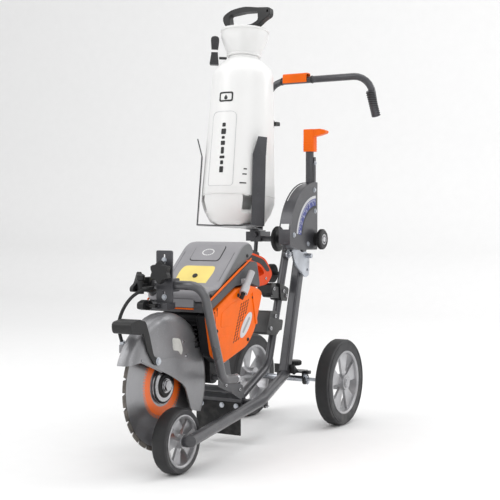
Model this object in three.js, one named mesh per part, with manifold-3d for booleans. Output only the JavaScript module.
// Walk-behind concrete saw: a three-wheeled cart that carries a hand-held power cutter on a
// swinging carrier, with a pressurised water tank and a depth lever on a toothed sector.
// Millimetres. Front is -Y, the machine's left side is +X, +Z is up.
import * as THREE from 'three';
import { mergeVertices } from 'three/addons/utils/BufferGeometryUtils.js';
import Module from 'manifold-3d';

const wasm = await Module();
wasm.setup();

// ---------------------------------------------------------------- driving dimensions
const GAP = 0.3;                 // between pieces that touch
const BLADE_RADIUS = 175;
const BLADE_AXIS = { y: -812, z: 228 };
const GUARD_RADIUS = 195;
const GUARD_X = [1, 50];         // right and left cheeks of the blade guard
const REAR_WHEEL = { radius: 140, width: 50, face: 195, rim: 102.5 };
const FRONT_WHEEL = { x: 80, y: -831, radius: 87.5, width: 46, rim: 70 };
const AXLE = { y: 0, z: REAR_WHEEL.radius, radius: 6 };
const SHAFT = { y: 30, z: 606, radius: 10 };        // cross shaft through the column head
const SWING = { y: -383, z: 116, radius: 7 };       // pivot of the carrier on the main tube
const CRANK = { radius: 120, angle: 60 };           // link pin on the lever's crank
const LINK_FOOT = { y: -78, z: 558 };               // link pin on the carrier
const LINK_X = [17.5, 23.5];
const SECTOR_X = [25, 30];
const LEVER_X = 45;
const HOUSING_RADIUS = 190;
const COLUMN = { foot: [0, -63, 170], lean: 15.9, length: 456, wide: 32, deep: 36 };
const STEM = { x: -190, y: 64, z: 606, lean: 11.8, top: 1021 };
const BAR = { y: 180, z: 1160, radius: 12 };
const TANK = { x: -160, y: -100, z: 650, lean: 4.5, low: 125, high: 102, tall: 560 };
const ARM_RADIUS = 135;          // tray arms around the tank

const PAINT = { color: 0x46464a, roughness: 0.45, metalness: 0.5 };
const GUARD_GREY = { color: 0x8c8c8f, roughness: 0.5, metalness: 0.4 };
const ZINC = { color: 0xbcc0c6, roughness: 0.35, metalness: 0.9 };
const RUBBER = { color: 0x2d2d31, roughness: 0.9, metalness: 0.0 };
const BLACK = { color: 0x18181a, roughness: 0.6, metalness: 0.0 };
const ALLOY = { color: 0xaaaaae, roughness: 0.4, metalness: 0.85 };
const ORANGE = { color: 0xf0691e, roughness: 0.45, metalness: 0.0 };
const COVER_GREY = { color: 0x7d7b80, roughness: 0.5, metalness: 0.0 };
const DARK_GREY = { color: 0x505054, roughness: 0.5, metalness: 0.0 };
const WHITE = { color: 0xeeeeea, roughness: 0.4, metalness: 0.0 };
const STEEL = { color: 0x9a9a9e, roughness: 0.3, metalness: 0.95 };

// ---------------------------------------------------------------- helpers
const rad = THREE.MathUtils.degToRad;
const add = (...list) => list.reduce((a, b) => a.add(b));
const cut = (first, ...rest) => rest.reduce((a, b) => a.subtract(b), first);

// A closed three.js geometry as a solid with its faces pointing out.
function solid(geometry) {
  const g = geometry.clone();
  for (const name of Object.keys(g.attributes)) if (name !== 'position') g.deleteAttribute(name);
  const m = mergeVertices(g, 1e-4);
  const p = m.attributes.position;
  const corner = (i) => new THREE.Vector3().fromBufferAttribute(p, i);
  const tris = [];
  let volume = 0;
  for (let i = 0; i < m.index.count; i += 3) {
    const [a, b, c] = [0, 1, 2].map((k) => m.index.getX(i + k));
    if (a === b || b === c || a === c) continue;
    tris.push([a, b, c]);
    volume += corner(a).dot(corner(b).cross(corner(c)));
  }
  if (volume < 0) for (const t of tris) t.reverse();
  return new wasm.Manifold(new wasm.Mesh({
    numProp: 3, vertProperties: new Float32Array(p.array), triVerts: new Uint32Array(tris.flat()),
  }));
}

function part(name, shape, finish) {
  const { vertProperties, triVerts } = shape.getMesh();
  const g = new THREE.BufferGeometry();
  g.setAttribute('position', new THREE.BufferAttribute(new Float32Array(vertProperties), 3));
  g.setIndex(new THREE.BufferAttribute(new Uint32Array(triVerts), 1));
  g.computeVertexNormals();
  const mesh = new THREE.Mesh(g, new THREE.MeshStandardMaterial(finish));
  mesh.name = name;
  return mesh;
}

// A body that turns or slides: its group sits on the pivot, its parts keep machine places.
function body(name, [x, y, z], ...parts) {
  const group = new THREE.Group();
  group.name = `joint_${name}`;
  group.position.set(x, y, z);
  for (const p of parts) {
    p.position.x -= x;
    p.position.y -= y;
    p.position.z -= z;
    group.add(p);
  }
  return group;
}

// Outline with rounded corners; a point is [u, v] or [u, v, corner radius].
function outline(points) {
  const shape = new THREE.Shape();
  const n = points.length;
  points.forEach((p, i) => {
    const at = new THREE.Vector2(p[0], p[1]);
    const before = new THREE.Vector2(...points[(i + n - 1) % n]).sub(at);
    const after = new THREE.Vector2(...points[(i + 1) % n]).sub(at);
    const reach = Math.min(p[2] ?? 0, before.length() * 0.48, after.length() * 0.48);
    const a = before.setLength(reach).add(at);
    const b = after.setLength(reach).add(at);
    if (i === 0) shape.moveTo(a.x, a.y);
    else shape.lineTo(a.x, a.y);
    if (reach > 0) shape.quadraticCurveTo(at.x, at.y, b.x, b.y);
  });
  shape.closePath();
  return shape;
}

const X = new THREE.Vector3(1, 0, 0);
const Y = new THREE.Vector3(0, 1, 0);
const Z = new THREE.Vector3(0, 0, 1);
const ALONG = {
  x: new THREE.Matrix4().makeBasis(Y, Z, X),
  y: new THREE.Matrix4().makeBasis(Z, X, Y),
  z: new THREE.Matrix4(),
};

// A shape pushed along x, y or z: its outline is (y, z), (z, x) or (x, y).
function slab(axis, from, to, shape, extra = {}) {
  const { curveSegments = 3, bevel = 0, round = bevel, steps = 1 } = extra;
  const g = new THREE.ExtrudeGeometry(shape, {
    depth: to - from - 2 * round, steps, curveSegments, bevelEnabled: bevel > 0,
    bevelSize: bevel, bevelOffset: -bevel, bevelThickness: round, bevelSegments: 2,
  });
  g.translate(0, 0, from + round);
  return solid(g.applyMatrix4(ALONG[axis]));
}

function box([x0, x1], [y0, y1], [z0, z1]) {
  const g = new THREE.BoxGeometry(x1 - x0, y1 - y0, z1 - z0);
  return solid(g.translate((x0 + x1) / 2, (y0 + y1) / 2, (z0 + z1) / 2));
}

// A turned piece: profile points [radius, place] about an axis along x, y or z.
function turned(axis, [a, b], profile, sides = 20) {
  const g = new THREE.LatheGeometry(profile.map(([r, h]) => new THREE.Vector2(r, h)), sides);
  g.rotateX(Math.PI / 2);
  g.applyMatrix4(ALONG[axis]);
  const shift = { x: [0, a, b], y: [b, 0, a], z: [a, b, 0] }[axis];
  return solid(g.translate(...shift));
}

const disc = (axis, centre, radius, from, to, sides = 18) =>
  turned(axis, centre, [[0, from], [radius, from], [radius, to], [0, to]], sides);

const ring = (axis, centre, inner, outer, from, to, sides = 20) =>
  turned(axis, centre, [[inner, from], [outer, from], [outer, to], [inner, to], [inner, from]], sides);

// A straight path with arcs at its corners, sampled only where it bends.
class RodPath extends THREE.Curve {
  constructor(points, bendSteps = 5) {
    super();
    this.places = [new THREE.Vector3(...points[0])];
    points.slice(1, -1).forEach((p, i) => {
      const at = new THREE.Vector3(...p);
      const a = new THREE.Vector3(...points[i]).sub(at).normalize();
      const b = new THREE.Vector3(...points[i + 2]).sub(at).normalize();
      const half = a.angleTo(b) / 2;
      const reach = (p[3] ?? 40) / Math.tan(half);
      const middle = a.clone().add(b).setLength((p[3] ?? 40) / Math.sin(half)).add(at);
      const from = a.multiplyScalar(reach).add(at).sub(middle);
      const turn = new THREE.Vector3().crossVectors(from, b.multiplyScalar(reach).add(at).sub(middle));
      for (let k = 0; k <= bendSteps; k += 1) {
        const q = from.clone().applyAxisAngle(turn.clone().normalize(), (Math.PI - 2 * half) * k / bendSteps);
        this.places.push(q.add(middle));
      }
    });
    this.places.push(new THREE.Vector3(...points.at(-1)));
  }
  getSpacedPoints() { return this.places; }
  getPointAt(u) { return this.places[Math.round(u * (this.places.length - 1))]; }
  getTangentAt(u) {
    const i = Math.round(u * (this.places.length - 1));
    const a = this.places[Math.max(i - 1, 0)];
    const b = this.places[Math.min(i + 1, this.places.length - 1)];
    const into = this.places[i].clone().sub(a).normalize();
    const out = b.clone().sub(this.places[i]).normalize();
    return into.add(out).normalize();
  }
}

function circle(radius, sides) {
  const shape = new THREE.Shape();
  for (let i = 0; i < sides; i += 1) {
    const a = (i / sides) * 2 * Math.PI;
    if (i === 0) shape.moveTo(radius, 0);
    else shape.lineTo(radius * Math.cos(a), radius * Math.sin(a));
  }
  return shape;
}

function rod(points, radius, sides = 16, bendSteps = 5) {
  const path = new RodPath(points, bendSteps);
  return solid(new THREE.ExtrudeGeometry(circle(radius, sides), {
    steps: path.places.length - 1, extrudePath: path, bevelEnabled: false,
  }));
}

const hexagon = (radius) => circle(radius, 6);
const lean = (shape, degrees, y, z) => shape
  .translate([0, -y, -z]).rotate([-degrees, 0, 0]).translate([0, y, z]);
const polar = (c, radius, degrees) => [
  c.y + radius * Math.cos(rad(degrees)), c.z + radius * Math.sin(rad(degrees))];

// ---------------------------------------------------------------- cart frame
const MAIN_PATH = [[0, -56, 163], [60, -328, 119, 300], [134, -848, 95]];
const MAIN_RADIUS = 16.5;

function mainTube() {
  const boss = disc('x', [SWING.y, SWING.z], 13, 34, 62, 20);
  const pin = disc('x', [SWING.y, SWING.z], SWING.radius, -24, 36, 16);
  const stub = disc('x', [FRONT_WHEEL.y, FRONT_WHEEL.radius], 14, 106, 122, 20);
  const axle = disc('x', [FRONT_WHEEL.y, FRONT_WHEEL.radius], 7.5, 58, 108, 16);
  const stud = disc('z', [56, -296], 7, 96, 125, 12);
  return part('main_tube', add(rod(MAIN_PATH, MAIN_RADIUS, 20), boss, pin, stub, axle, stud), PAINT);
}

function columnTube() {
  const { foot, wide, deep, length } = COLUMN;
  const w = wide / 2;
  const d = deep / 2;
  const section = outline([[-w, -d, 7], [w, -d, 7], [w, d, 7], [-w, d, 7]]);
  const mast = slab('z', 0, length, section, { curveSegments: 3 })
    .rotate([-COLUMN.lean, 0, 0]).translate([0, foot[1], foot[2]]);
  const sleeve = disc('x', [SHAFT.y, SHAFT.z], 17, -16, 16, 24);
  const bore = disc('x', [SHAFT.y, SHAFT.z], SHAFT.radius + GAP, -30, 30, 24);
  const weld = rod(MAIN_PATH, MAIN_RADIUS + GAP, 20);
  return part('column_tube', cut(mast.add(sleeve), bore, weld), PAINT);
}

function axleBracket() {
  const top = box([-52, 46], [-34, 16], [164, 169]);
  const sides = [[-52, -47], [41, 46]].map((x) => slab('x', ...x, outline([
    [-20, 168], [16, 168, 4], [16, 122, 14], [-16, 122, 14], [-20, 150, 6]])));
  const web = slab('x', -40, 34, outline([[-62, 196, 4], [-30, 168, 3], [-30, 164], [-60, 164]]));
  const washer = disc('x', [AXLE.y, AXLE.z], 17, 45, 50, 20);
  const lug = slab('x', 45, 62, outline([[-12, 158, 4], [8, 158, 4], [8, 169, 3], [-12, 169, 3]]));
  const holes = disc('x', [AXLE.y, AXLE.z], 9.8, -60, 60, 20);
  const mast = slab('z', -20, 200, outline([[-17, -19], [17, -19], [17, 19], [-17, 19]]))
    .rotate([-COLUMN.lean, 0, 0]).translate([0, COLUMN.foot[1], COLUMN.foot[2]]);
  const clear = rod(MAIN_PATH, MAIN_RADIUS + GAP, 20);
  const tapped = disc('z', [2, 0], 5.3, 150, 180, 12);
  return part('axle_bracket', cut(add(top, ...sides, web, washer, lug), holes, mast, clear, tapped), BLACK);
}

function rearAxle() {
  const r = AXLE.radius;
  const end = REAR_WHEEL.face - 12;
  return part('rear_axle', turned('x', [AXLE.y, AXLE.z], [
    [0, -end], [r, -end], [r, -146], [9.5, -146], [9.5, 52], [r, 52], [r, end], [0, end]], 20), ZINC);
}

function shaftNut() {
  const nut = slab('x', -34, -24, hexagon(17)).translate([0, SHAFT.y, SHAFT.z]);
  return part('shaft_nut', nut.subtract(disc('x', [SHAFT.y, SHAFT.z], SHAFT.radius + GAP, -40, -20)), ZINC);
}

function quadrantHousing() {
  const arc = [];
  for (let a = 90; a <= 184; a += 94 / 16) arc.push(polar(SHAFT, HOUSING_RADIUS, a));
  const [fy, fz] = polar(SHAFT, HOUSING_RADIUS, 184);
  const plate = slab('x', 66, 69, outline([
    [40, SHAFT.z + HOUSING_RADIUS - 1, 3], ...arc.slice(1), [fy, fz], [-122, 577, 12], [40, 571, 8]]));
  const band = ring('x', [SHAFT.y, SHAFT.z], HOUSING_RADIUS - 3, HOUSING_RADIUS, 28, 69, 56);
  const keep = slab('x', 20, 80, outline([[SHAFT.y + 10, 560], [SHAFT.y + 10, 860], [-240, 860], [-240, 560]]));
  const under = slab('x', 20, 80, outline([[60, 500], [60, 592], [-240, 592], [-240, 500]]));
  const slot = slab('x', 31.5, 62.5, outline([[60, 640], [60, 860], [-240, 860], [-240, 640]]));
  const ledge = slab('x', 31.5, 66.5, outline([[-100, 577], [-96, 573.5], [40, 571], [40, 574.5], [-96, 577.5]]));
  const hole = disc('x', [SHAFT.y, SHAFT.z], SHAFT.radius + GAP, 60, 72, 24);
  const rim = cut(band.intersect(keep), under, slot);
  const inner = slab('x', 31.5, 66.2, outline([[-158, 592], [-154, 590], [-96, 573.5], [-93, 577]]));
  return part('quadrant_housing', cut(add(plate, rim, ledge, inner), hole), PAINT);
}

// The cross shaft carries the tank block and the handlebar stem at its right end.
function crossShaft() {
  const shaft = disc('x', [SHAFT.y, SHAFT.z], SHAFT.radius, -150, 68.6, 24);
  const block = box([-172, -134], [12, 50], [596, 634.8]);
  const bolt = slab('y', 3, 13, hexagon(10)).translate([-153, 0, 620]);
  const arm = box([-210, -134], [46, 84], [598, 630]);
  const post = lean(disc('z', [-153, 18], 7, 552, 600, 14), 8, 20, 600);
  const { x, y, z, lean: tilt, top } = STEM;
  const long = (top - z) / Math.cos(rad(tilt));
  const tube = lean(disc('z', [x, y], 15.5, z - 8, z + long), tilt, y, z);
  const bore = lean(disc('z', [x, y], BAR.radius + GAP, z + 40, z + long + 20), tilt, y, z);
  const ear = lean(box([x + 10, x + 34], [y - 7, y + 7], [z + long - 26, z + long]), tilt, y, z);
  const thread = disc('x', STEM_BOLT, 4.3, x, x + 60, 12);
  return part('cross_shaft', cut(add(shaft, block, bolt, arm, post, tube, ear), bore, thread), PAINT);
}
const STEM_BOLT = [STEM.y + (STEM.top - STEM.z - 13) * Math.tan(rad(STEM.lean)), STEM.top - 13];

function stemClamp() {
  const { x } = STEM;
  const stud = disc('x', STEM_BOLT, 4, x + 13, x + 36, 12);
  const head = slab('x', x + 35, x + 52, outline(
    [[-16, -7, 5], [16, -7, 5], [16, 7, 5], [-16, 7, 5]])).translate([0, ...STEM_BOLT]);
  return part('stem_clamp', stud.add(head), BLACK);
}

// ---------------------------------------------------------------- hand knobs
function knobDisc(name, centre, [from, to], radius, neck, finish = BLACK) {
  const c = (to - from) * 0.25;
  return part(name, turned('x', centre, [
    [SHAFT.radius + GAP, from], [radius - c, from], [radius, from + c], [radius, to - c],
    [radius - c, to], [neck.radius, to], [neck.radius, to + neck.length],
    [SHAFT.radius + GAP, to + neck.length], [SHAFT.radius + GAP, from]], 24), finish);
}

function hubKnob() {
  return part('hub_knob', turned('x', [SHAFT.y, SHAFT.z], [
    [0, 69.4], [22, 69.4], [22, 82], [28, 82], [33, 85], [33, 95], [29, 99], [0, 99]], 24), BLACK);
}

function adjusterKnob() {
  const stem = disc('z', [2, 0], 5, 152, 186, 12);
  const head = slab('z', 184, 200, circle(25, 16), { bevel: 3 }).translate([2, 0, 0]);
  return part('adjuster_knob', stem.add(head), BLACK);
}

// ---------------------------------------------------------------- wheels
function tyre(name, { radius, width, rim }, x, y) {
  const h = width / 2;
  const wall = radius - rim;
  return part(name, turned('x', [y, radius], [
    [rim + GAP, x - h + 3], [rim + wall * 0.7, x - h], [radius - 3, x - h + 4], [radius, x - h + 9],
    [radius, x + h - 9], [radius - 3, x + h - 4], [rim + wall * 0.7, x + h], [rim + GAP, x + h - 3],
    [rim + GAP, x - h + 3]], 32), RUBBER);
}

// Cast rim: barrel, hub with a blind bore from the inner side, and five flared spokes.
function rim(name, { radius, width, rim: outer }, x, y, side, bore, hubRadius) {
  const h = width / 2;
  const z = radius;
  const face = x + side * h;
  const barrel = ring('x', [y, z], outer - 7, outer, x - h + 5, x + h - 5, 32);
  const hub = disc('x', [y, z], hubRadius, ...[x - side * (h - 1), face].sort((a, b) => a - b), 20);
  const cap = disc('x', [y, z], hubRadius * 0.7, ...[face - side, face + side * 3].sort((a, b) => a - b), 20);
  const spokes = [];
  for (let i = 0; i < 5; i += 1) {
    const root = hubRadius * 0.34;
    const tip = outer * 0.31;
    const blade = outline([[-root, hubRadius * 0.8], [root, hubRadius * 0.8], [tip, outer - 7], [-tip, outer - 7]]);
    const arm = slab('x', ...[x + side * (h - 20), x + side * (h - 11)].sort((a, b) => a - b), blade);
    spokes.push(arm.rotate([i * 72, 0, 0]).translate([0, y, z]));
  }
  const hole = disc('x', [y, z], bore, ...[x - side * (h + 20), face - side * 9].sort((a, b) => a - b), 16);
  return part(name, cut(add(barrel, hub, cap, ...spokes), hole), ALLOY);
}

function wheels() {
  const centre = REAR_WHEEL.face - REAR_WHEEL.width / 2;
  const make = (side, where) => body(`rear_wheel_${where}`, [side * centre, AXLE.y, AXLE.z],
    tyre(`rear_tyre_${where}`, REAR_WHEEL, side * centre, AXLE.y),
    rim(`rear_rim_${where}`, REAR_WHEEL, side * centre, AXLE.y, side, AXLE.radius + GAP, 26));
  const front = body('front_wheel', [FRONT_WHEEL.x, FRONT_WHEEL.y, FRONT_WHEEL.radius],
    tyre('front_tyre', FRONT_WHEEL, FRONT_WHEEL.x, FRONT_WHEEL.y), frontRim());
  return [make(1, 'left'), make(-1, 'right'), front];
}

function frontRim() {
  const { x, y, radius, width, rim: outer } = FRONT_WHEEL;
  const h = width / 2;
  const barrel = ring('x', [y, radius], outer - 6, outer, x - h + 4, x + h - 4, 32);
  const hub = disc('x', [y, radius], 19, x - h + 2, x + h + 2, 20);
  const spokes = [0, 1, 2, 3, 4].map((i) => slab('x', x + 3, x + 11, outline(
    [[-7, 15], [7, 15], [20, outer - 5], [-20, outer - 5]])).rotate([i * 72 + 20, 0, 0]).translate([0, y, radius]));
  const bore = disc('x', [y, radius], 7.5 + GAP, x - h - 5, x + h + 5, 16);
  return part('front_rim', cut(add(barrel, hub, ...spokes), bore), ALLOY);
}

// ---------------------------------------------------------------- handlebar
const BAR_PATH = [
  [STEM.x, STEM.y + 100 * Math.tan(rad(STEM.lean)), STEM.z + 100],
  [STEM.x, BAR.y, BAR.z, 60], [197, BAR.y, BAR.z, 62], [203, 220, 1026]];

function handlebar() {
  const grip = rod([[197.3, 184, 1108], [203, 220, 1026]], 14.8, 16);
  return part('handlebar', rod(BAR_PATH, BAR.radius, 16, 6).add(grip), PAINT);
}

const BAIL = { from: -128, to: -35, low: 1151, high: 1184 };
function throttleLever() {
  const { y } = BAR;
  const channel = slab('x', BAIL.from, BAIL.to, outline([
    [y - 17, BAIL.low, 2], [y - 14, BAIL.low, 1], [y - 14, BAIL.high - 4, 6], [y + 14, BAIL.high - 4, 6],
    [y + 14, BAIL.low, 1], [y + 17, BAIL.low, 2], [y + 17, BAIL.high, 9], [y - 17, BAIL.high, 9]]));
  return part('throttle_lever', channel, ORANGE);
}

// ---------------------------------------------------------------- depth lever
function toothedSector() {
  const teeth = [];
  const count = 22;
  for (let i = 0; i < count; i += 1) {
    const a = 172 + (i * 88) / count;
    teeth.push(polar(SHAFT, 98 + i * 0.5, a), polar(SHAFT, 105 + i * 0.6, a + 2));
  }
  const plate = slab('x', ...SECTOR_X, outline([
    ...teeth, [30, 477, 8], [56, 484, 10], [60, 548, 14], [34, 566, 10], [-4, 560, 20], [-32, 590, 16],
    [-30, 620, 10], [20, 628, 6], [40, 580, 20], [60, 600, 10],
    [100, 700, 10], [96, 720, 10], [80, 716, 10], [20, 632, 10], [-20, 640, 12], [-68, 628, 6]]));
  const hub = disc('x', [SHAFT.y, SHAFT.z], 26, SECTOR_X[0], SECTOR_X[1]);
  const pin = disc('x', polar(SHAFT, CRANK.radius, CRANK.angle), 6, 15, SECTOR_X[0] + 1, 16);
  const stud = slab('x', 24, 44, hexagon(9)).translate([0, 48, 550]);
  const hole = disc('x', [42, 503], 5, 20, 36, 12);
  const bore = disc('x', [SHAFT.y, SHAFT.z], SHAFT.radius + GAP, 20, 36, 24);
  return part('toothed_sector', cut(add(plate, hub, pin, stud), hole, bore), ZINC);
}

function depthLever() {
  const hub = disc('x', [SHAFT.y, SHAFT.z], 25, SECTOR_X[1] + GAP, 62, 24);
  const mast = slab('z', SHAFT.z + 8, 962, outline(
    [[-12.5, -12.5, 11], [12.5, -12.5, 11], [12.5, 12.5, 11], [-12.5, 12.5, 11]])).translate([LEVER_X, SHAFT.y, 0]);
  const strap = box([58, 61], [SHAFT.y + 2, SHAFT.y + 14], [SHAFT.z, 880]);
  const foot = box([50, 60.5], [SHAFT.y + 2, SHAFT.y + 12], [860, 876]);
  const bore = disc('x', [SHAFT.y, SHAFT.z], SHAFT.radius + GAP, 20, 70, 24);
  return part('depth_lever', cut(add(hub, mast, strap, foot), bore), PAINT);
}

function leverGrip() {
  const { y } = SHAFT;
  const sleeve = slab('z', 898, 972, outline([[-18, -17, 8], [20, -17, 8], [20, 17, 8], [-18, 17, 8]]))
    .translate([LEVER_X, y, 0]);
  const nose = slab('y', y - 13, y + 13, outline([
    [972, LEVER_X, 2], [972, LEVER_X + 46, 4], [965, LEVER_X + 64, 5], [957, LEVER_X + 62, 5], [951, LEVER_X + 40, 4],
    [946, LEVER_X + 12, 2], [946, LEVER_X, 2]]));
  const seat = slab('z', 890, 962 + GAP, outline([[-12.8, -12.8, 11], [12.8, -12.8, 11], [12.8, 12.8, 11],
    [-12.8, 12.8, 11]])).translate([LEVER_X, y, 0]);
  return part('lever_grip', cut(sleeve.add(nose), seat), ORANGE);
}

// Link from the crank to the carrier. Its upper eye is wide enough to take up the
// difference between the true four-bar motion and the constant ratio of the two bodies.
function linkRod() {
  const top = polar(SHAFT, CRANK.radius, CRANK.angle);
  const foot = [LINK_FOOT.y, LINK_FOOT.z];
  const angle = THREE.MathUtils.radToDeg(Math.atan2(top[1] - foot[1], top[0] - foot[0]));
  const long = Math.hypot(top[0] - foot[0], top[1] - foot[1]);
  const strip = slab('x', ...LINK_X, outline([[-13, -13, 12], [long + 18, -13, 12], [long + 18, 13, 12], [-13, 13, 12]]));
  const wide = slab('x', 10, 30, circle(9, 18)).translate([0, long, 0]);
  const eye = slab('x', 10, 30, circle(6.3, 16));
  return part('link_rod', cut(strip, wide, eye).rotate([angle, 0, 0]).translate([0, ...foot]), ZINC);
}

// ---------------------------------------------------------------- carrier
const CARRIER_PATH = [[0, -49, 588], [0, -179, 205, 70], [0, -376, 119]];
function carrierTube() {
  const tube = rod(CARRIER_PATH, 13, 16);
  const eye = disc('x', [SWING.y, SWING.z], 20, -14, 14, 24);
  const lug = slab('x', 4, 17, outline([[-96, 560, 14], [-80, 540, 12], [-55, 548, 2], [-48, 575, 2], [-80, 576, 12]]));
  const pin = disc('x', [LINK_FOOT.y, LINK_FOOT.z], 6, 16, 26, 16);
  const bore = disc('x', [SWING.y, SWING.z], SWING.radius + GAP, -20, 20, 16);
  return part('carrier_tube', cut(add(tube, eye, lug, pin), bore), PAINT);
}

const clearOfCarrier = (shape) => shape.subtract(rod(CARRIER_PATH, 13 + GAP, 16));

function upperClamp() {
  const collar = slab('x', -20, 20, outline([[-135, 468, 6], [-72, 446, 8], [-86, 404, 8], [-128, 412, 8]]));
  const arm = slab('x', -16, 16, outline([[-196, 462, 10], [-120, 452, 4], [-124, 416, 4], [-190, 424, 12]]));
  const ears = slab('x', -26, 26, outline([[-206, 468, 8], [-176, 470, 8], [-172, 436, 8], [-196, 430, 8]]));
  return part('upper_clamp', clearOfCarrier(add(collar, arm, ears)), BLACK);
}

function lowerClamp() {
  const collar = slab('x', -20, 20, outline([[-178, 356, 6], [-112, 346, 8], [-122, 312, 8], [-178, 320, 8]]));
  const jaw = slab('x', -34, 40, outline([
    [-236, 384, 4], [-190, 382, 8], [-184, 350, 6], [-166, 352, 4], [-166, 322, 6], [-196, 304, 6], [-264, 314, 8],
    [-250, 350, 8]]));
  return part('lower_clamp', clearOfCarrier(collar.add(jaw)), BLACK);
}

function saddleKnob() {
  const stud = disc('x', [-72, 494], 6, -36, -13.6, 12);
  const head = disc('x', [-72, 494], 31, -52, -36, 28);
  return part('saddle_knob', stud.add(head), BLACK);
}

const FLOOR = (y) => 128 + (-395 - y) * 0.376;
function frontCradle() {
  const floor = slab('x', -92, 46, outline([
    [-404, FLOOR(-404)], [-404, FLOOR(-404) + 5], [-562, FLOOR(-562) + 5], [-562, FLOOR(-562)]]));
  const wall = (x) => slab('x', ...x, outline([
    [-412, FLOOR(-412) + 2], [-420, FLOOR(-420) + 40, 8], [-484, FLOOR(-484) + 34, 8],
    [-512, 302], [-552, 293], [-558, FLOOR(-558) + 2]]));
  const arms = [[-26, -17], [17, 26]].map((x) => slab('x', ...x, outline([
    [-366, 110, 12], [-374, 140, 12], [-420, FLOOR(-420) + 16, 6], [-450, FLOOR(-450)], [-404, 104, 8]])));
  const ledge = slab('x', -100, 54, outline([
    [-446, 108], [-441, 108], [-441, FLOOR(-441) - 1], [-500, FLOOR(-500) + 1], [-500, FLOOR(-500) - 3], [-446, 138]]));
  const rivets = [-78, -7, 42].map((x) => disc('y', [118, x], 5, -455, -445, 10));
  const bore = disc('x', [SWING.y, SWING.z], SWING.radius + GAP, -40, 40, 16);
  const solidParts = add(floor, wall([-92, -88]), wall([42, 46]), ...arms, ledge, ...rivets);
  const eye = disc('x', [SWING.y, SWING.z], 21, -14 - GAP, 14 + GAP, 24);
  return part('front_cradle', clearOfCarrier(cut(solidParts, bore, eye)), PAINT);
}

function splashFlap() {
  const sheet = box([-100, 54], [-450, -446 - GAP], [30, 127]);
  const holes = [-78, -7, 42].map((x) => disc('y', [118, x], 5 + GAP, -460, -440, 10));
  return part('splash_flap', cut(sheet, ...holes), RUBBER);
}

// ---------------------------------------------------------------- power cutter
const AXIS = [BLADE_AXIS.y, BLADE_AXIS.z];
const DRIVE_AXIS = { y: -640, z: 322 };
const ARM_X = [-46, -2];

// Outline of two circles and their common tangents, in (y, z).
function capsule(a, ra, b, rb, sides = 10) {
  const along = Math.atan2(b.z - a.z, b.y - a.y);
  const open = Math.acos((ra - rb) / Math.hypot(b.y - a.y, b.z - a.z));
  const shape = new THREE.Shape();
  for (let i = 0; i <= sides; i += 1) {
    const t = along + open + ((2 * Math.PI - 2 * open) * i) / sides;
    const p = [a.y + ra * Math.cos(t), a.z + ra * Math.sin(t)];
    if (i === 0) shape.moveTo(...p);
    else shape.lineTo(...p);
  }
  for (let i = 0; i <= sides; i += 1) {
    const t = along - open + ((2 * open) * i) / sides;
    shape.lineTo(b.y + rb * Math.cos(t), b.z + rb * Math.sin(t));
  }
  return shape;
}

const GUARD_SPACE = () => disc('x', AXIS, GUARD_RADIUS + 4, GUARD_X[0] - 4, GUARD_X[1] + 5, 48);

function engineBlock() {
  const core = slab('x', -62, 61, outline([
    [-690, 408, 6], [-676, 306, 16], [-636, 276, 18], [-504, 306, 20], [-458, 345, 18], [-408, 452, 8],
    [-476, 474, 6], [-558, 470, 6]]), { bevel: 5 });
  const muffler = slab('x', -96, -58, outline([
    [-680, 400, 10], [-660, 300, 24], [-600, 284, 24], [-520, 316, 20], [-480, 380, 20], [-500, 440, 12]]), { bevel: 8 });
  const lug = slab('x', 30, 56.6, outline([[-628, 300], [-584, 300], [-588, 208, 12], [-624, 208, 12]]));
  const arm = slab('x', ARM_X[0] - 0.6, ARM_X[1] + 0.6, capsule(DRIVE_AXIS, 44.6, BLADE_AXIS, 42.6));
  const handle = rod(FRONT_HANDLE, 13, 16);
  return part('engine_block', cut(add(core, muffler, lug), GUARD_SPACE(), arm, handle), BLACK);
}

function sideBand() {
  const shell = slab('x', -98, 104, outline([
    [-712, 414, 7], [-712, 440, 7], [-552, 516, 9], [-476, 550, 9], [-436, 548, 10], [-416, 470, 16],
    [-478, 486, 9], [-562, 482, 9]]), { bevel: 3, curveSegments: 4 });
  return part('side_band', cut(shell, rod(FRONT_HANDLE, 13, 16)), DARK_GREY);
}

function topCover() {
  const hood = slab('x', -98, 98, outline([
    [-706, 442, 12], [-714, 462, 14], [-700, 480, 14], [-645, 484, 14], [-508, 603, 36], [-462, 608, 26],
    [-440, 574, 16], [-474, 553, 14], [-553, 518, 14]]), { bevel: 6, round: 20, curveSegments: 4 });
  const seat = disc('z', [0, 0], 13.4, -10, 20, 16).rotate([40, 0, 0]).translate([0, -611, 509]);
  const band = slab('x', -120, 120, outline([
    [-760, 400], [-760, 418.5], [-552, 517.3], [-476, 551.3], [-430, 549.3], [-400, 440]]));
  return part('top_cover', cut(hood, seat, band, rod(FRONT_HANDLE, 13, 16)), COVER_GREY);
}

function decompressionValve() {
  const button = turned('z', [0, 0], [[0, -5], [12.6, -5], [12.6, 1], [8, 2], [8, 6], [0, 6]], 16);
  return part('decompression_valve', button.rotate([40, 0, 0]).translate([0, -611, 509]), BLACK);
}

function starterCover() {
  const shell = slab('x', 61 + GAP, 108, outline([
    [-714, 407, 8], [-687, 297, 12], [-636, 267, 16], [-497, 304, 22], [-453, 346, 22], [-402, 462, 26],
    [-478, 482, 14], [-564, 476, 8]]), { bevel: 7, round: 14 });
  return part('starter_cover', cut(shell, rod(FRONT_HANDLE, 13, 16)), ORANGE);
}

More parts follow.
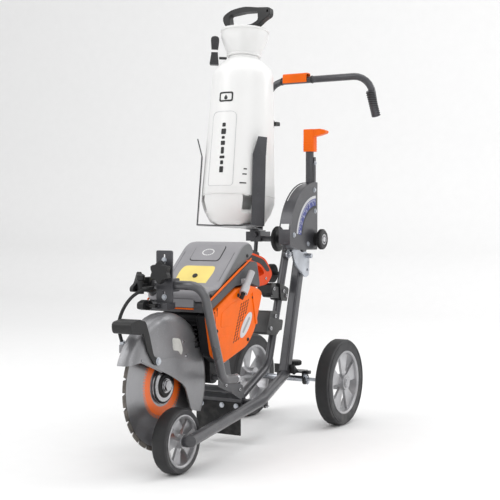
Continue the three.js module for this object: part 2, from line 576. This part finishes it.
// Starter grip lies on the band; its recoil rope stays wound inside the starter.
function starterGrip() {
  const [low, high] = [[121, -548, 462], [121, -500, 521]];
  const mid = low.map((v, i) => v * 0.7 + high[i] * 0.3);
  const barrel = rod([mid, high], 10, 14);
  const tip = rod([low, mid.map((v, i) => v + (high[i] - low[i]) * 0.02)], 12, 14);
  const foot = box([104 + GAP, 115], [-532, -516], [488, 502]);
  return part('starter_grip', add(barrel, tip, foot), ALLOY);
}

function fuelCap() {
  return part('fuel_cap', turned('x', [-588, 362], [
    [0, -112], [18, -112], [20, -109], [20, -99], [16, -96.4], [0, -96.4]], 20), BLACK);
}

const TRIGGER_PIVOT = [-330, 540];
const LOCKOUT_PIVOT = [-258, 556];
function rearHandle() {
  const loop = slab('x', -19, 19, outline([
    [-434, 572, 8], [-330, 574, 30], [-226, 552, 26], [-176, 498, 18], [-212, 466, 14], [-392, 452, 6], [-406, 463, 4],
    [-434, 548, 4]]), { bevel: 6 });
  const hole = slab('x', -30, 30, outline([
    [-408, 540, 12], [-330, 541, 16], [-256, 524, 14], [-236, 502, 10], [-290, 490, 12], [-386, 478, 12]]));
  const above = slab('x', -9, 9, outline([[-318, 590], [-318, 560], [-246, 552], [-246, 590]]));
  const below = slab('x', -8.5, 8.5, outline([[-342, 500], [-342, 548], [-262, 541], [-262, 500]]));
  return part('rear_handle', cut(loop, hole, above, below), ORANGE);
}

function throttleTrigger() {
  return part('throttle_trigger', slab('x', -7, 7, outline([
    [-334, 540.4, 2], [-270, 526, 3], [-282, 508, 6], [-298, 506, 6], [-318, 526, 6]])), BLACK);
}

function triggerLockout() {
  return part('trigger_lockout', slab('x', -8, 8, outline([
    [-314, 569, 3], [-300, 580, 6], [-252, 568, 6], [-250, 555, 3]])), BLACK);
}

// Front handle: from a mount behind the starter, down the left front corner, across the top.
const FRONT_HANDLE = [
  [121, -592, 224], [121, -664, 230, 34], [121, -764, 494, 40], [-70, -764, 494, 34], [-92, -640, 440]];
const HANDLE_LUG = [-606, 225.5];
function frontHandle() {
  const stub = disc('x', HANDLE_LUG, 8, 57, 121);
  return part('front_handle', rod(FRONT_HANDLE, 12.5, 14).add(stub), DARK_GREY);
}

function cuttingArm() {
  const plate = slab('x', ARM_X[0], ARM_X[0] + 5, capsule(DRIVE_AXIS, 44, BLADE_AXIS, 42));
  const bearing = ring('x', AXIS, 10.3, 18, ARM_X[0] + 4, ARM_X[0] + 12, 20);
  const boss = disc('x', [DRIVE_AXIS.y, DRIVE_AXIS.z], 9, ARM_X[0] + 4, ARM_X[0] + 10, 16);
  return part('cutting_arm', cut(add(plate, bearing, boss), disc('x', AXIS, 10.3, -60, 20, 20)), ALLOY);
}

function beltCover() {
  const shell = slab('x', ARM_X[0] + 5 + GAP, ARM_X[1], capsule(DRIVE_AXIS, 44, BLADE_AXIS, 42));
  const room = slab('x', ARM_X[0], ARM_X[1] - 4, capsule(DRIVE_AXIS, 40, BLADE_AXIS, 38));
  const hole = disc('x', AXIS, 20, -10, 5, 20);
  return part('belt_cover', cut(shell, room, hole), BLACK);
}

function driveBelt() {
  const strand = slab('x', -27, -13, capsule(DRIVE_AXIS, 33, BLADE_AXIS, 27));
  const inside = slab('x', -30, -10, capsule(DRIVE_AXIS, 29, BLADE_AXIS, 23));
  return part('drive_belt', strand.subtract(inside), RUBBER);
}

function drivePulley() {
  return part('drive_pulley', turned('x', [DRIVE_AXIS.y, DRIVE_AXIS.z], [
    [0, -34], [28, -34], [28, -12], [0, -12]], 20), STEEL);
}

function bladeSpindle() {
  return part('blade_spindle', turned('x', AXIS, [
    [0, -44], [10, -44], [10, -33.6], [22, -33.6], [22, -12], [14, -12], [14, 10], [50, 13], [50, 18.4],
    [9.7, 18.4], [9.7, 21.6], [50, 21.9], [50, 26], [42, 31], [18, 31], [18, 40], [0, 40]], 20), STEEL);
}

function blade() {
  const shape = new THREE.Shape();
  const count = 28;
  for (let i = 0; i < count; i += 1) {
    const a = (i / count) * 2 * Math.PI;
    const step = (2 * Math.PI) / count;
    const at = (r, t) => [r * Math.cos(a + step * t), r * Math.sin(a + step * t)];
    if (i === 0) shape.moveTo(...at(BLADE_RADIUS - 12, 0));
    else shape.lineTo(...at(BLADE_RADIUS - 12, 0));
    [[BLADE_RADIUS, 0.12], [BLADE_RADIUS, 0.5], [BLADE_RADIUS, 0.92]].forEach(([r, t]) => shape.lineTo(...at(r, t)));
  }
  const disk = slab('x', 18.7, 21.3, shape).translate([0, ...AXIS]);
  return part('blade', disk.subtract(disc('x', AXIS, 10, 10, 30, 24)), STEEL);
}

// ---------------------------------------------------------------- blade guard
function bladeGuard() {
  const [right, left] = GUARD_X;
  const r = GUARD_RADIUS;
  const t = 3;
  const shell = turned('x', AXIS, [
    [24, right], [r - 6, right], [r, right + 6], [r, left - 22], [r - 7, left - 9], [r - 27, left], [24, left],
    [24, left - t], [r - 27 - t, left - t], [r - 9 - t, left - 11], [r - t, left - 23], [r - t, right + 7],
    [r - 8, right + t], [24, right + t], [24, right]], 40);
  const open = slab('x', -20, 80, outline([
    [-1100, 290], [-990, 300], [-950, 306, 6], [-812, 252, 30], [-742, 216, 14], [-714, 150, 10], [-680, 140],
    [-560, 120], [-560, 0], [-1100, 0]]));
  const centre = disc('x', AXIS, 58, left - 8, left + 8, 32);
  const boss = disc('x', GUARD_HANDLE_FOOT, 7, left - 2, left + 6, 14);
  const nozzle = box([-13, right + 2], [-957, -943], [328, 349]);
  return part('blade_guard', cut(add(shell, boss, nozzle), open, centre), GUARD_GREY);
}

const GUARD_HANDLE_FOOT = [-880, 302];
function guardHandle() {
  const grip = slab('x', 2, 62, outline([
    [-1006, 384, 10], [-1010, 412, 12], [-962, 420, 12], [-948, 396, 10], [-960, 378, 8]]));
  const arm = slab('x', 50.4, 56, outline([
    [-975, 416, 8], [-936, 412, 10], [-918, 372, 10], [-900, 318, 8], [-872, 306, 8], [-872, 292, 8], [-894, 292, 10],
    [-926, 330, 10], [-948, 386, 10], [-975, 388, 6]]));
  const hole = disc('x', GUARD_HANDLE_FOOT, 7 + GAP, 45, 70, 14);
  const clear = disc('x', AXIS, GUARD_RADIUS + GAP, -10, 51, 48);
  return part('guard_handle', cut(add(grip, arm), hole, clear), DARK_GREY);
}

const STRAP_Y = [-784, -779];
function guardStrap() {
  const bar = slab('y', ...STRAP_Y, outline([[446, -16, 3], [588, -16, 5], [588, 36, 5], [446, 36, 3]]));
  const slots = [[548, 578], [452, 478]].map(([a, b]) => slab('y', -800, -760, outline([
    [a, 6, 3], [b, 6, 3], [b, 13, 3], [a, 13, 3]])));
  const jaw = slab('x', -12, 32, outline([[-779.4, 512], [-742, 512, 4], [-742, 476, 4], [-779.4, 476]]));
  const stud = disc('y', [530, 12], 6, -800, -776, 12);
  const latch = box([-8, 30], [-800, -760], [430, 447]);
  const hole = disc('x', [-812, 440], 5 + GAP, -30, 6.5, 12);
  const foot = box([-8, 6], [-814, -798], [432, 446]);
  const shape = cut(add(bar, jaw, stud, latch, foot), ...slots, rod(FRONT_HANDLE, 12.5 + GAP, 16));
  return part('guard_strap', cut(shape, hole), PAINT);
}

function starKnob() {
  const shape = new THREE.Shape();
  const lobes = 6;
  for (let i = 0; i < lobes * 4; i += 1) {
    const a = (i / (lobes * 4)) * 2 * Math.PI;
    const r = 28 + 4 * Math.cos(a * lobes);
    if (i === 0) shape.moveTo(r, 0);
    else shape.lineTo(r * Math.cos(a), r * Math.sin(a));
  }
  const head = slab('y', -815, -795, shape, { bevel: 3 }).translate([12, 0, 530]);
  const neck = disc('y', [530, 12], 14, -796, -784.4, 16);
  return part('star_knob', cut(head.add(neck), disc('y', [530, 12], 6 + GAP, -801, -770, 12)), DARK_GREY);
}

function wingKnob() {
  const stud = disc('x', [-812, 440], 4.6, -26, 2, 12);
  const wings = slab('x', -44, -24, outline([
    [-836, 432, 4], [-836, 448, 6], [-812, 456, 8], [-788, 448, 6], [-788, 432, 4], [-812, 426, 8]]));
  return part('wing_knob', stud.add(wings), BLACK);
}

// Water valve on the front handle and the short hose from it to the guard's spray nozzle.
const VALVE = { x: -52, z: 486 };
function waterValve() {
  const saddle = box([-61, -38], [-785, -746], [474, 514]);
  const inlet = turned('z', [VALVE.x, -806], [[0, 470], [9, 470], [9, 506], [12, 508], [12, 520], [7, 524], [0, 524]], 14);
  const bridge = box([-62, -42], [-806, -780], [478, 498]);
  const shape = cut(add(saddle, bridge, inlet), rod(FRONT_HANDLE, 12.5 + GAP, 16));
  const stub = disc('x', [-806, 486], 5, -45, -30, 10);
  const axle = disc('x', [-806, 486], 3 + GAP, -62, -56, 10);
  return part('water_valve', shape.add(stub).subtract(axle), DARK_GREY);
}

function valveLever() {
  const axle = disc('x', [-806, 486], 3, -66, -57, 10);
  return part('valve_lever', axle.add(slab('x', -76, -65, outline([
    [-824, 476, 5], [-824, 488, 5], [-806, 498, 6], [-790, 530, 6], [-780, 526, 6], [-792, 488, 6], [-806, 474, 6]]))), BLACK);
}

const HOSE = [
  [-29.6, -806, 486], [-14, -806, 486, 10], [-12, -872, 484, 30], [-8, -940, 452, 40], [-7, -976, 396, 30],
  [-7, -950, 352]];
function waterHose() {
  return part('water_hose', rod(HOSE, 4.5, 10, 3), RUBBER);
}

// ---------------------------------------------------------------- water tank
const place = (shape) => shape.rotate([-TANK.lean, 0, 0]).translate([TANK.x, TANK.y, TANK.z]);

function tankTray() {
  const parts = [disc('z', [0, 0], 62, -4, 0, 24)];
  const R = ARM_RADIUS;
  for (const turn of [0, 120, 240]) {
    const strip = box([-24, 24], [20, R], [-4, 0]);
    const rise = slab('x', -24, 24, outline([
      [R - 4, -4], [R, -4], [R - 7, 226], [R + 10, 284], [R + 6, 285], [R - 11, 226]]));
    const trim = [-1, 1].map((s) => slab('y', 90, 160, outline([
      [222, s * 25], [290, s * 15], [290, s * 40], [222, s * 40]])));
    parts.push(strip.add(cut(rise, ...trim)).rotate([0, 0, turn]));
  }
  return part('tank_tray', place(add(...parts)), PAINT);
}

function tankBody() {
  const { low, high, tall } = TANK;
  const outer = turned('z', [0, 0], [
    [0, GAP], [70, GAP], [92, 10], [112, 44], [low - 3, 76], [low - 4, 120], [high, 500], [high - 8, 524], [high - 30, 544],
    [62, 554], [50, tall], [50, tall + 8], [38, tall + 8], [38, tall - 10], [54, 540], [high - 36, 530], [high - 16, 510],
    [high - 4, 490], [low - 9, 118], [low - 9, 80], [100, 48], [84, 18], [0, 12]], 26);
  const scoops = [45, 135, 225, 315].map((a) => box([-16, 16], [112, 150], [-40, 60])
    .rotate([28, 0, 0]).rotate([0, 0, a]));
  return part('tank_body', place(cut(outer, ...scoops)), WHITE);
}

function tankFunnel() {
  const t = TANK.tall;
  return part('tank_funnel', place(turned('z', [0, 0], [
    [12, t - 40], [37.6, t - 40], [37.6, t + 8 + GAP], [58, t + 8 + GAP], [58, t + 14], [56, t + 16], [72, t + 52], [79, t + 70],
    [79, t + 96], [75, t + 96], [75, t + 72], [68, t + 52], [52, t + 18], [12, t + 18], [12, t - 40]], 26)), WHITE);
}

function pumpHandle() {
  const t = TANK.tall;
  const rodPart = disc('z', [0, 0], 9, t - 200, t + 106, 16);
  const loop = slab('y', -14, 14, outline([
    [t + 104, -52, 10], [t + 120, -76, 14], [t + 150, -84, 16], [t + 170, -50, 14], [t + 178, 0, 20], [t + 170, 50, 12],
    [t + 166, 100, 10], [t + 138, 101, 10], [t + 126, 76, 14], [t + 104, 50, 14]]), { bevel: 3 });
  const gap = slab('y', -30, 30, outline([[t + 114, -50, 8], [t + 152, -56, 6], [t + 158, 0, 10], [t + 156, 54, 4],
    [t + 126, 56, 8], [t + 114, 30, 8]]));
  const eyelet = slab('y', -30, 30, outline([[t + 149, 88, 1], [t + 158, 88, 1], [t + 158, 94, 1], [t + 149, 94, 1]]));
  return part('pump_handle', place(add(rodPart, cut(loop, gap, eyelet))), BLACK);
}

// Carrying strap: folded into a flat bundle on the tank's shoulder, with a short tail to the neck.
const STRAP = { radius: 98.5, half: 15.5, turn: 29.5, low: 538, waist: 583, high: 634 };
function strapTail() {
  const { radius, half, turn } = STRAP;
  const stub = disc('x', [0, 562], 4.5, -(radius - half - GAP), -57, 10);
  return part('strap_tail', place(stub.rotate([0, 0, turn])), RUBBER);
}

function carryStrap() {
  const { radius, half, turn, low, waist, high } = STRAP;
  const bundle = slab('y', -11, 11, outline([
    [low, -half, 4], [waist, -half * 0.65, 8], [high, -half, 15], [high, half, 15], [waist, half * 0.65, 8],
    [low, half, 4]]));
  return part('carry_strap', place(bundle.translate([-radius, 0, 0]).rotate([0, 0, turn])), RUBBER);
}

// ---------------------------------------------------------------- assembly
function powerCutter() {
  return [
    engineBlock(), sideBand(), topCover(), starterCover(), rearHandle(), frontHandle(), cuttingArm(),
    beltCover(), driveBelt(), guardStrap(), waterValve(),
    body('starter_grip', [121, -524, 490], starterGrip()),
    body('throttle_trigger', [0, ...TRIGGER_PIVOT], throttleTrigger()),
    body('trigger_lockout', [0, ...LOCKOUT_PIVOT], triggerLockout()),
    body('fuel_cap', [-104, -588, 362], fuelCap()),
    body('decompression_valve', [0, -611, 509], decompressionValve()),
    body('drive_pulley', [-23, DRIVE_AXIS.y, DRIVE_AXIS.z], drivePulley()),
    body('blade', [20, ...AXIS], blade(), bladeSpindle()),
    body('blade_guard', [25, ...AXIS], bladeGuard(), guardHandle()),
    body('star_knob', [12, -800, 530], starKnob()),
    body('wing_knob', [-34, -812, 440], wingKnob()),
    body('valve_lever', [-68, -806, 486], valveLever()),
    waterHose(),
  ];
}

function carrier() {
  return body('carrier', [0, SWING.y, SWING.z],
    carrierTube(), upperClamp(), lowerClamp(), frontCradle(), splashFlap(), ...powerCutter(),
    body('saddle_knob', [-44, -72, 494], saddleKnob()),
    body('link_rod', [20, LINK_FOOT.y, LINK_FOOT.z], linkRod()));
}

function waterTank() {
  return body('tank', [TANK.x, TANK.y, TANK.z], tankBody(), tankFunnel(), strapTail(), carryStrap(),
    body('pump_handle', [TANK.x, TANK.y, TANK.z + TANK.tall], pumpHandle()));
}

const machine = new THREE.Group();
machine.add(
  mainTube(), columnTube(), axleBracket(), rearAxle(), shaftNut(), quadrantHousing(), crossShaft(), tankTray(),
  ...wheels(),
  body('adjuster_knob', [2, 0, 190], adjusterKnob()),
  body('hub_knob', [84, SHAFT.y, SHAFT.z], hubKnob()),
  body('clamp_knob', [-75, SHAFT.y, SHAFT.z],
    knobDisc('clamp_knob', [SHAFT.y, SHAFT.z], [-84, -66], 42, { radius: 15, length: 22 })),
  body('stem_clamp', [STEM.x + 44, ...STEM_BOLT], stemClamp()),
  body('handlebar', [STEM.x, BAR.y, BAR.z], handlebar(),
    body('throttle_lever', [BAIL.from + 4, BAR.y, BAIL.high - 6], throttleLever())),
  body('depth_lever', [LEVER_X, SHAFT.y, SHAFT.z], toothedSector(), depthLever(), leverGrip()),
  carrier(), waterTank());

// The origin is under the middle of the machine, on the ground.
const bounds = new THREE.Box3().setFromObject(machine);
const middle = bounds.getCenter(new THREE.Vector3());
machine.position.set(-middle.x, -middle.y, -bounds.min.z);

const saw = new THREE.Group();
saw.name = 'walk_behind_concrete_saw';
saw.add(machine);

export default saw;
